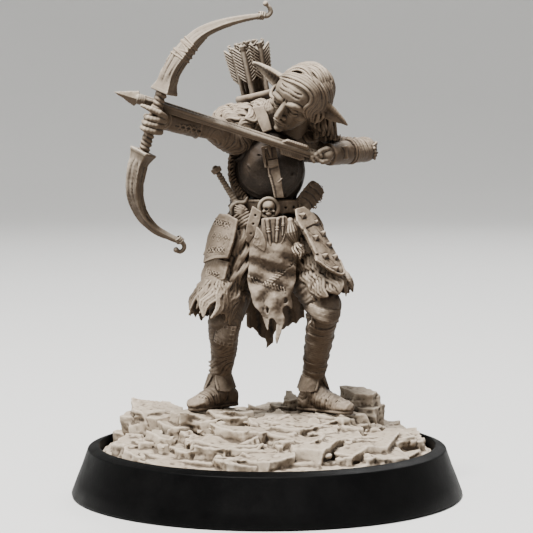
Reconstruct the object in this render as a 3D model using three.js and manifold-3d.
// A tabletop miniature: a pointed-eared archer at full draw, on a rocky disc that drops into
// a rimmed round base.
// Millimetres, +Z up, front towards -Y. The origin is the centre of the base's flat underside.
import * as THREE from "three";
import { ConvexGeometry } from "three/addons/geometries/ConvexGeometry.js";
import { mergeVertices } from "three/addons/utils/BufferGeometryUtils.js";
import Module from "manifold-3d";

const wasm = await Module();
wasm.setup();

// ---- Driving dimensions ----
const GAP = 0.12; // clearance kept all round a piece where it meets its neighbour
const SIDES = 8; // facets round a limb

const BASE = {
  footRadius: 16,
  footChamfer: 0.3,
  shoulderRadius: 14.65,
  shoulderHeight: 3.8,
  lipRadius: 13.7,
  height: 4.15,
  recessFloor: 2.6,
  segments: 64,
};
const INSERT = {
  radius: 13.5,
  underside: BASE.recessFloor + 0.05,
  edgeTop: 3.9,
  slabTop: 5.5,
  crownTop: 6.6,
};

const BOW = {
  grip: [-9.1, -7.0, 29.9], // centre of the handle
  up: [0.319, -0.093, 0.943], // along the handle, towards the upper limb
};
// Stations along the bow's limbs: how far back from the handle, how far up it, and half the section.
const LIMBS = {
  bow_upper_binding: [[0.57, 5.83, 0.67], [1.07, 7.2, 0.6]],
  bow_upper_limb_inner: [[0.2, 2.97, 0.72], [0.22, 3.7, 0.62], [0.25, 4.66, 0.6], [0.6, 6.0, 0.58]],
  bow_upper_nock: [[5.75, 10.88, 0.27], [6.2, 11.2, 0.24], [6.0, 11.6, 0.19], [5.65, 11.85, 0.16]],
  bow_upper_limb_outer: [
    [0.95, 7, 0.5],
    [1.72, 8.24, 0.42],
    [2.9, 9.3, 0.37],
    [4.41, 10.22, 0.3],
    [5.8, 10.9, 0.26],
  ],
  bow_lower_limb_inner: [[0.13, -1.95, 0.72], [0.06, -2.6, 0.63], [0.05, -3.35, 0.61], [0.44, -5.16, 0.53]],
  bow_lower_nock: [[5.17, -7.94, 0.27], [5.65, -8.2, 0.24], [5.6, -8.72, 0.19], [5.2, -8.7, 0.15]],
  bow_lower_limb_outer: [
    [0.44, -5.16, 0.53],
    [1.5, -6.68, 0.4],
    [2.84, -7.5, 0.31],
    [4.29, -7.85, 0.28],
    [5.2, -7.95, 0.26],
  ],
};
const ARROW = {
  nock: [3.8, -3.3, 27.75],
  passHeight: 1.75, // above the handle's centre, along the bow
  passBehind: 0.95, // behind the handle
  shaftRadius: 0.42,
  headLength: 2.4,
};
const HEAD = {
  centre: [3.0, -2.3, 32.3],
  forward: [-0.55, -0.79, -0.28], // the way the face looks
  toLeft: [0.78, -0.36, -0.51], // towards the figure's left ear
  radii: [2.05, 2.55, 2.0], // across, forwards, up
  earTip: { right: [5.4, -0.8], left: [4.35, -0.6] }, // from the head's centre: sideways, up
};
const WRIST_RIGHT = [-7.6, -5.1, 30.4];
const ELBOW_RIGHT = [-4.8, -3.7, 29.9];
const SHOULDER_RIGHT = [-2.2, -1.3, 28.8];
const ELBOW_LEFT = [7.3, 0.1, 28.0];
const KNEE_RIGHT = [-3.3, -2.4, 14.9];
const KNEE_LEFT = [4.6, -2.9, 16.1];
const ANKLE_RIGHT = [-3.85, 0.1, 9.6];
const ANKLE_LEFT = [3.8, 0.3, 9.4];
const WAIST = { centre: [0.1, -0.3, 23.3], halfWidth: 2.75, halfDepth: 2.3 };

// ---- Colours ----
const finish = (color, roughness) => new THREE.MeshStandardMaterial({ color, roughness, metalness: 0 });
const RESIN = finish(0xa8937d, 0.6);
const STONE = finish(0xc9bba6, 0.7);
const BLACK = finish(0x1a1a1a, 0.55);

// ---- Small vector helpers ----
const vec = (p) => (p.isVector3 ? p.clone() : new THREE.Vector3(...p));
const along = (p, ...steps) => {
  const at = vec(p);
  for (const [direction, distance] of steps) at.addScaledVector(direction, distance);
  return at;
};
// The two directions square to the one given, the first as level as it can be.
function acrossOf(direction) {
  const level = new THREE.Vector3().crossVectors(direction, new THREE.Vector3(0, 0, 1));
  if (level.length() < 0.05) level.set(1, 0, 0);
  level.normalize();
  return [level, new THREE.Vector3().crossVectors(level, direction).normalize()];
}

// ---- Solids. Each maker takes "grow", which swells the shape evenly. ----
function toSolid(geometry) {
  geometry.deleteAttribute("normal");
  geometry.deleteAttribute("uv");
  const merged = mergeVertices(geometry, 1e-4);
  return new wasm.Manifold(
    new wasm.Mesh({
      numProp: 3,
      vertProperties: merged.attributes.position.array,
      triVerts: new Uint32Array(merged.index.array),
    }),
  );
}
function toGeometry(solid) {
  const mesh = solid.getMesh();
  const geometry = new THREE.BufferGeometry();
  geometry.setAttribute("position", new THREE.BufferAttribute(mesh.vertProperties, 3));
  geometry.setIndex(new THREE.BufferAttribute(mesh.triVerts, 1));
  geometry.computeVertexNormals();
  return geometry;
}
const joined = (solids) => solids.reduce((a, b) => a.add(b));

const lathe = (profile, sides) =>
  new THREE.LatheGeometry(profile.map(([r, h]) => new THREE.Vector2(r, h)), sides);

// An ellipsoid; "turn" gives its x, y and z directions where they aren't the frame's.
const ball = (centre, radii, turn, sides = SIDES) => (grow) => {
  const [rx, ry, rz] = typeof radii === "number" ? [radii, radii, radii] : radii;
  const shape = new THREE.SphereGeometry(1, sides, Math.max(4, sides - 2));
  shape.rotateX(Math.PI / 2).scale(rx + grow, ry + grow, rz + grow);
  if (turn) shape.applyMatrix4(new THREE.Matrix4().makeBasis(...turn));
  shape.translate(...vec(centre).toArray());
  return toSolid(shape);
};
// A tapered rod with rounded ends between two joint centres.
const limb = (a, b, ra, rb, sides = SIDES) => (grow) => {
  const start = vec(a);
  const run = vec(b).sub(start);
  const [r0, r1, length] = [ra + grow, rb + grow, run.length()];
  const profile = [
    [0, -0.9 * r0],
    [0.7 * r0, -0.6 * r0],
    [r0, 0],
    [r1, length],
    [0.7 * r1, length + 0.6 * r1],
    [0, length + 0.9 * r1],
  ];
  const shape = lathe(profile, sides);
  const axis = run.normalize();
  shape.applyQuaternion(new THREE.Quaternion().setFromUnitVectors(new THREE.Vector3(0, 1, 0), axis));
  return toSolid(shape.translate(...start.toArray()));
};
// A bar through stations of { at, half: [across, through] }; across and through give the section's
// directions.
const bar = (stations, across, through) => (grow) => {
  const points = stations.map((s) => vec(s.at));
  const last = points.length - 1;
  const ahead = points[1].clone().sub(points[0]).normalize();
  const behind = points[last - 1].clone().sub(points[last]).normalize();
  points[0].addScaledVector(ahead, -grow);
  points[last].addScaledVector(behind, -grow);
  const corners = points.map((p, i) => {
    const [w, t] = stations[i].half;
    return [[1, 1], [1, -1], [-1, 1], [-1, -1]].map(([u, v]) =>
      along(p, [across, u * (w + grow)], [through, v * (t + grow)]),
    );
  });
  return joined(corners.slice(1).map((c, i) => toSolid(new ConvexGeometry([...corners[i], ...c]))));
};
// The convex solid round some points, swollen from its middle.
const hull = (points) => (grow) => {
  const all = points.map(vec);
  const middle = all.reduce((sum, p) => sum.add(p), new THREE.Vector3()).divideScalar(all.length);
  const swollen = all.map((p) =>
    p.clone().sub(middle).setLength(p.distanceTo(middle) + 1.6 * grow).add(middle),
  );
  return toSolid(new ConvexGeometry(swollen));
};
const several = (...makers) => (grow) => joined(makers.map((m) => m(grow)));

// ---- Assembly: pieces made first keep their shape, and later ones are trimmed to clear them ----
const figure = new THREE.Group();
const made = []; // what each piece keeps clear for itself
const boxesMeet = (a, b) => [0, 1, 2].every((k) => a.min[k] < b.max[k] && b.min[k] < a.max[k]);

function piece(name, maker, material = RESIN, within = null) {
  let solid = maker(0);
  let room = maker(GAP);
  if (within) {
    solid = solid.intersect(within(0));
    room = room.intersect(within(GAP));
  }
  const box = solid.boundingBox();
  for (const other of made) {
    if (boxesMeet(box, other.boundingBox())) solid = solid.subtract(other);
  }
  const bodies = solid.decompose().sort((a, b) => b.volume() - a.volume());
  const mesh = new THREE.Mesh(toGeometry(bodies[0]), material);
  mesh.name = name;
  figure.add(mesh);
  made.push(room);
}

// ---- Bow and arrow ----
const grip = vec(BOW.grip);
const bowUp = vec(BOW.up).normalize();
const nock = vec(ARROW.nock);
// The arrow runs beside the handle, so its direction and the bow's own plane are settled together.
let shaftRun = nock.clone().sub(along(grip, [bowUp, ARROW.passHeight])).normalize();
const bowSide = new THREE.Vector3().crossVectors(bowUp, shaftRun).normalize(); // away from the viewer
const pass = along(grip, [bowUp, ARROW.passHeight], [bowSide, ARROW.passBehind]);
shaftRun = nock.clone().sub(pass).normalize();
const bowBack = new THREE.Vector3().crossVectors(bowSide, bowUp).negate().normalize(); // towards the archer
if (bowBack.dot(shaftRun) < 0) bowBack.negate();
const onBow = (back, up) => along(grip, [bowBack, back], [bowUp, up]);
// The limbs' faces stand edge-on to the front, so the section is turned by an eighth.
const edgeA = bowBack.clone().add(bowSide).normalize();
const edgeB = bowBack.clone().sub(bowSide).normalize();

function bowLimb(name) {
  const stations = LIMBS[name].map(([back, up, half]) => ({ at: onBow(back, up), half: [half, half] }));
  piece(name, bar(stations, edgeA, edgeB));
}
const shaftEnd = nock.distanceTo(pass);
const shaftStart = along(pass, [shaftRun, -1.2]);
const shaftTail = along(pass, [shaftRun, shaftEnd]);
piece("arrow_shaft", limb(shaftStart, shaftTail, ARROW.shaftRadius, ARROW.shaftRadius, 6));
const headBack = along(pass, [shaftRun, -1.35]);
piece("arrow_head", hull([
  along(headBack, [shaftRun, -ARROW.headLength]),
  along(headBack, [bowUp, 0.6], [shaftRun, -0.2]),
  along(headBack, [bowUp, -0.6], [shaftRun, -0.2]),
  along(headBack, [bowSide, 0.3]),
  along(headBack, [bowSide, -0.3]),
]));
const [vaneLevel, vaneUp] = acrossOf(shaftRun);
for (let i = 0; i < 3; i++) {
  const angle = ((270 + 120 * i) * Math.PI) / 180;
  const out = vaneLevel.clone().multiplyScalar(Math.cos(angle)).addScaledVector(vaneUp, Math.sin(angle));
  const flat = new THREE.Vector3().crossVectors(out, shaftRun).normalize();
  const centre = along(pass, [shaftRun, shaftEnd - 1.8], [out, 0.72]);
  piece(`arrow_vane_${i + 1}`, bar(
    [-1, 1].map((end) => ({ at: along(centre, [shaftRun, end]), half: [0.3, 0.1] })), out, flat));
}
piece("bow_grip", limb(onBow(0.12, -1.6), onBow(0.03, 2.65), 0.5, 0.5));
for (const name of Object.keys(LIMBS)) bowLimb(name);

// ---- Head ----
const headAt = vec(HEAD.centre);
const forward = vec(HEAD.forward).normalize();
const toLeft = vec(HEAD.toLeft);
toLeft.addScaledVector(forward, -toLeft.dot(forward)).normalize();
const crown = new THREE.Vector3().crossVectors(forward, toLeft).normalize();
const onHead = (left, ahead, up) => along(headAt, [toLeft, left], [forward, ahead], [crown, up]);
const headTurn = [toLeft, forward.clone().negate(), crown];

for (const [hand, side] of [["right", -1], ["left", 1]]) {
  piece(`ear_${hand}`, hull([
    onHead(side * 2.2, 0.3, 0.75),
    onHead(side * 2.2, -0.5, 0.5),
    onHead(side * 2.2, 0.25, -0.6),
    onHead(side * 2.6, -0.6, -0.3),
    onHead(side * HEAD.earTip[hand][0], -0.3, HEAD.earTip[hand][1]),
  ]));
}
const hairBlock = hull([-3.2, 3.4].flatMap((up) => [-3.2, 3.2].flatMap((left) => [
  onHead(left, -4, up),
  onHead(left, up > 0 ? 3.1 : 0.4, up),
])));
const hairBall = ball(onHead(0, 0.1, 0.3), [2.45, 2.85, 2.4], headTurn);
const hairCap = (grow) => hairBall(grow).intersect(hairBlock(grow));
piece("hair", several(hairCap, limb([4.4, -1.0, 31.6], [5.2, -1.2, 29.6], 1.0, 0.6)));
piece("head", several(
  ball(onHead(0, 0.3, 0.2), HEAD.radii, headTurn),
  ball(onHead(0, 1.6, -1.1), [1.4, 1.35, 1.5], headTurn),
  limb(onHead(0, -0.6, -1.4), [1.4, -0.2, 29.3], 1.2, 1.25),
));

// ---- Hands and arms ----
piece("hand_right", several(
  ball(onBow(0.1, 0.4), [1.05, 1.0, 1.1]),
  ball(along(onBow(0.8, 0.3), [bowSide, 0.5]), 0.8),
  limb(onBow(-0.4, 0.95), onBow(-1.3, 1.1), 0.34, 0.26, 6),
));
const drawPoint = along(nock, [shaftRun, 0.35], [new THREE.Vector3(0, 0, -1), 0.2]);
piece("hand_left", ball(drawPoint, [1.05, 0.8, 0.85]));
piece("forearm_right", limb(WRIST_RIGHT, ELBOW_RIGHT, 0.75, 0.95));
piece("upper_arm_right", limb(ELBOW_RIGHT, SHOULDER_RIGHT, 1.0, 1.35));
piece("forearm_left", limb([5.2, -2.1, 27.75], ELBOW_LEFT, 0.85, 1.1));
piece("upper_arm_left", limb(ELBOW_LEFT, [3.5, 1.2, 28.3], 1.1, 1.25));

// ---- Quiver on the back, with its arrows ----
const quiverFoot = vec([1.2, 3.6, 22.6]);
const quiverMouth = vec([-0.85, 3.3, 31.7]);
const quiverRun = quiverMouth.clone().sub(quiverFoot).normalize();
const quiverOut = vec([0.1, 0.99, 0.04]).projectOnPlane(quiverRun).normalize(); // away from the back
const quiverLevel = new THREE.Vector3().crossVectors(quiverOut, quiverRun).normalize(); // to the left
// Each spare arrow's place in the mouth: to the left, outwards, and its lean to the left.
const QUIVER_ARROWS = [[-0.85, 0.1, -0.02], [-0.1, -0.6, 0.02], [0.4, 0.35, 0.04], [1.05, -0.3, 0.08]];
QUIVER_ARROWS.forEach(([sideways, outwards, lean], i) => {
  const foot = along(quiverMouth, [quiverLevel, sideways], [quiverOut, outwards], [quiverRun, 1.0]);
  const lift = quiverRun.clone().addScaledVector(quiverLevel, lean).normalize();
  const across = new THREE.Vector3().crossVectors(lift, quiverOut).normalize();
  piece(`quiver_arrow_${i + 1}`, several(
    bar([
      { at: foot, half: [0.16, 0.16] },
      { at: along(foot, [lift, 1.2]), half: [0.16, 0.16] },
    ], across, quiverOut),
    bar([
      { at: along(foot, [lift, 0.7]), half: [0.16, 0.14] },
      { at: along(foot, [lift, 1.5]), half: [0.44, 0.16] },
      { at: along(foot, [lift, 4.0]), half: [0.42, 0.16] },
    ], across, quiverOut),
  ));
});
piece("quiver", limb(quiverFoot, quiverMouth, 1.2, 1.65));

// ---- Belt and what hangs on it ----
const waist = vec(WAIST.centre);
const x = new THREE.Vector3(1, 0, 0);
const y = new THREE.Vector3(0, 1, 0);
const z = new THREE.Vector3(0, 0, 1);
const disc = (centre, radius, halfThick, sides = 16) => (grow) => {
  const shape = new THREE.CylinderGeometry(radius + grow, radius + grow, 2 * (halfThick + grow), sides);
  return toSolid(shape.translate(...vec(centre).toArray()));
};
const beltRing = (grow) => {
  const [inner, outer, half] = [0.86 - grow / 3, 1.1 + grow / 3, 0.55 + grow];
  const profile = [[inner, -half], [outer, -half], [outer, half], [inner, half], [inner, -half]];
  const shape = lathe(profile, 16);
  shape.rotateX(Math.PI / 2).scale(WAIST.halfWidth, WAIST.halfDepth, 1);
  return toSolid(shape.translate(...waist.toArray()));
};
const frontOf = (sideways, down, out) =>
  along(waist, [x, sideways], [z, -down], [y, -(WAIST.halfDepth + out)]);

piece("belt_buckle", disc(frontOf(0.05, 0, 0.65), 0.95, 0.24));
piece("belt_tail", bar([
  { at: frontOf(-0.75, 0.3, 0.6), half: [0.5, 0.16] },
  { at: frontOf(-1.4, 1.7, 0.75), half: [0.66, 0.16] },
  { at: frontOf(-1.8, 2.75, 0.7), half: [0.3, 0.16] },
], x, y));
piece("dart_holder", bar([
  { at: frontOf(0.35, 0.95, 0.7), half: [1.1, 0.28] },
  { at: frontOf(0.35, 2.5, 1.0), half: [1.05, 0.3] },
  { at: frontOf(0.25, 3.15, 1.0), half: [0.6, 0.24] },
], x, y));
piece("plume_tassel", limb(frontOf(1.9, 1.2, 0.55), frontOf(2.3, 3.3, 0.65), 0.5, 0.4, 6));
piece("dagger_hilt", several(
  ball([-3.65, -2.3, 25.85], 0.48, null, 6),
  limb([-3.55, -2.3, 25.6], [-2.75, -2.5, 24.1], 0.26, 0.28, 6),
  bar([
    { at: [-3.3, -2.4, 22.95], half: [0.2, 0.22] },
    { at: [-2.75, -2.5, 24.0], half: [0.28, 0.26] },
    { at: [-1.75, -2.6, 24.25], half: [0.2, 0.22] },
  ], new THREE.Vector3(0.6, 0, 0.8), y),
));
piece("rope_bundle", ball([-2.05, -2.85, 22.75], [0.65, 0.5, 0.75], null, 6));
piece("hip_pouch", bar([
  { at: [2.75, -1.5, 25.2], half: [0.95, 1.0] },
  { at: [4.1, -1.3, 23.5], half: [0.95, 1.0] },
], new THREE.Vector3(0.78, 0, 0.62), y));
piece("belt", beltRing);

// ---- Hanging plates, furs and cloths ----
const plateOut = new THREE.Vector3(-0.6, -0.8, 0.1).normalize();
const plateAcross = new THREE.Vector3(0.8, -0.6, 0).normalize();
piece("tasset_right_upper", bar([
  { at: [-3.35, -2.6, 22.3], half: [0.95, 0.14] },
  { at: [-4.15, -3.1, 18.95], half: [1.35, 0.14] },
], plateAcross, plateOut));
piece("tasset_right_lower", bar([
  { at: [-4.2, -2.7, 19.2], half: [1.15, 0.13] },
  { at: [-4.6, -3.1, 17.2], half: [1.25, 0.13] },
], plateAcross, plateOut));
const studOut = new THREE.Vector3(0.55, -0.75, 0.35).normalize();
const studAcross = new THREE.Vector3(0.8, 0.6, 0).normalize();
const TASSET_LEFT = [
  { at: [2.7, -2.95, 22.9], half: [0.7, 0.16] },
  { at: [3.4, -3.6, 21.3], half: [1.0, 0.16] },
  { at: [5.3, -4.4, 18.2], half: [1.35, 0.16] },
];
const tassetDrop = vec(TASSET_LEFT[2].at).sub(vec(TASSET_LEFT[0].at));
const studs = [0.25, 0.5, 0.78].map((share) =>
  ball(along(TASSET_LEFT[0].at, [tassetDrop, share], [studOut, 0.35]), 0.3, null, 6),
);
piece("tasset_left", several(bar(TASSET_LEFT, studAcross, studOut), ...studs));
piece("loincloth", bar([
  { at: frontOf(0.1, 1.0, 0.35), half: [1.6, 0.14] },
  { at: [0.3, -3.75, 19.2], half: [1.95, 0.16] },
  { at: [0.5, -4.1, 16.4], half: [1.6, 0.16] },
  { at: [0.7, -3.9, 12.7], half: [0.4, 0.14] },
], x, y));
piece("rear_cloth", bar([
  { at: [0.2, 2.4, 21.9], half: [2.2, 0.14] },
  { at: [0.5, 3.1, 15.8], half: [2.9, 0.16] },
  { at: [0.7, 3.3, 13.9], half: [2.3, 0.16] },
  { at: [-0.1, 3.5, 11.5], half: [0.3, 0.14] },
], x, y));
piece("fur_skirt_right", several(
  limb([-2.7, -1.5, 21.6], [-3.9, -2.3, 16.6], 1.25, 1.45),
  limb([-3.4, -2.6, 17.6], [-3.9, -3.2, 14.9], 1.0, 0.6, 6),
));
piece("fur_skirt_left", several(
  limb([2.6, -1.5, 21.6], [4.9, -3.0, 17.9], 1.25, 1.3),
  limb([5.2, -3.2, 17.6], [6.0, -3.6, 16.7], 0.7, 0.45, 6),
));
piece("dagger_scabbard", limb([-2.75, -1.0, 22.9], [-2.6, 2.6, 18.6], 0.42, 0.32, 6));

// ---- Torso ----
piece("chest_strap", bar([
  { at: [0.75, -3.5, 28.3], half: [0.5, 0.16] },
  { at: [0.75, -3.75, 26.4], half: [0.55, 0.16] },
  { at: [0.8, -3.2, 24.3], half: [0.6, 0.16] },
], x, y));
piece("fur_mantle", several(
  ball([-2.2, -0.7, 30.3], [2.1, 1.7, 1.4]),
  ball([0.1, 0.8, 30.3], [2.3, 1.6, 1.5]),
  ball([2.6, 0.7, 29.2], [1.4, 1.5, 0.9]),
));
const chestShape = several(
  ball([0.1, -0.75, 26.3], [3.1, 2.75, 2.9], null, 12),
  ball([0.3, -0.3, 28.2], [2.7, 1.9, 1.6]),
  ball(waist, [2.6, 2.1, 1.3]),
);
// The block that holds the front or the rear half of the chest; they part at y = 0.2.
const halfBlock = (middle) => bar([
  { at: [0, middle, 20], half: [6, 4.2 - GAP / 2] },
  { at: [0, middle, 32], half: [6, 4.2 - GAP / 2] },
], x, y);
const frontHalf = halfBlock(-4);
const rearHalf = halfBlock(4.4);
piece("cuirass_front", chestShape, RESIN, frontHalf);
piece("jerkin_back", chestShape, RESIN, rearHalf);
piece("pelvis", ball([0.05, 0.3, 20.7], [2.9, 2.15, 1.9]));

// ---- Legs and boots; each boot has a peg below it that plugs into the insert ----
piece("thigh_right", limb([-1.8, 0.1, 20.0], KNEE_RIGHT, 1.75, 1.45));
piece("thigh_left", limb([1.9, 0.1, 20.0], KNEE_LEFT, 1.75, 1.45));
piece("shin_right", limb(KNEE_RIGHT, ANKLE_RIGHT, 1.45, 0.95));
piece("shin_left", limb(KNEE_LEFT, ANKLE_LEFT, 1.45, 0.95));
const BOOTS = {
  boot_right: { ankle: ANKLE_RIGHT, heel: [-3.2, 0.6, 7.75], toe: [-5.6, -2.2, 7.6], sole: 7.05 },
  boot_left: { ankle: ANKLE_LEFT, heel: [3.3, 0.2, 7.55], toe: [6.2, -1.6, 7.15], sole: 6.75 },
};
for (const [name, { ankle, heel, toe, sole }] of Object.entries(BOOTS)) {
  const peg = vec(heel).lerp(vec(toe), 0.35).setZ(sole);
  piece(name, several(
    limb(heel, toe, 0.85, 0.7),
    limb(ankle, heel, 1.3, 0.9),
    bar([
      { at: along(peg, [z, 0.4]), half: [0.4, 0.4] },
      { at: along(peg, [z, -1.4]), half: [0.35, 0.35] },
    ], x, y),
  ));
}

// ---- Rocky insert and the rimmed base ----
const rock = (centre, size, turn, tilt = 0.15) => hull([
  [-1, -0.7, -1], [1, -0.8, -1], [0.9, 0.8, -1], [-0.8, 1, -1],
  [-0.8, -0.6, 0.8], [0.6, -0.9, 1], [0.8, 0.5, 0.75], [-0.5, 0.8, 1],
].map(([u, v, w]) => {
  const corner = new THREE.Vector3(u * size[0], v * size[1], w * size[2]);
  return corner.applyEuler(new THREE.Euler(tilt, -tilt, turn)).add(vec(centre));
}));
piece("boulder_rear_right", rock([7.3, 3.6, 6.3], [1.9, 1.5, 1.6], 0.4), STONE);
piece("boulder_middle", rock([1.6, 2.6, 6.4], [1.5, 1.0, 1.0], 0.1), STONE);
piece("boulder_left", rock([-9.2, 1.8, 5.6], [2.4, 2.2, 1.0], 0.7), STONE);
const mound = (grow) => {
  const profile = [
    [0, INSERT.underside - grow],
    [INSERT.radius + grow, INSERT.underside - grow],
    [INSERT.radius + grow, INSERT.edgeTop + grow],
    [12.4, 4.6 + grow],
    [8.6, INSERT.slabTop + grow],
    [6.2, INSERT.crownTop + grow],
    [0, INSERT.crownTop + grow],
  ];
  return toSolid(lathe(profile, 24).rotateX(Math.PI / 2));
};
const SLABS = 9;
const slabs = Array.from({ length: SLABS }, (_, i) => {
  const angle = 2.4 * i; // close to the golden angle, so no two slabs line up
  const reach = 4.2 + 5.4 * Math.sqrt(i / SLABS);
  const top = THREE.MathUtils.mapLinear(reach, 4.2, 10, INSERT.crownTop, 4.9);
  return rock([reach * Math.cos(angle), reach * Math.sin(angle), top - 0.5], [2.7, 2.1, 0.6], angle, 0.06);
});
piece("rocky_insert", several(mound, ...slabs), STONE);

const baseProfile = [
  [0, 0],
  [BASE.footRadius - BASE.footChamfer, 0],
  [BASE.footRadius, BASE.footChamfer],
  [BASE.shoulderRadius, BASE.shoulderHeight],
  [BASE.lipRadius, BASE.height],
  [BASE.lipRadius, BASE.recessFloor],
  [0, BASE.recessFloor],
];
const baseMesh = new THREE.Mesh(lathe(baseProfile, BASE.segments).rotateX(Math.PI / 2), BLACK);
baseMesh.name = "rimmed_base";
figure.add(baseMesh);

export default figure;
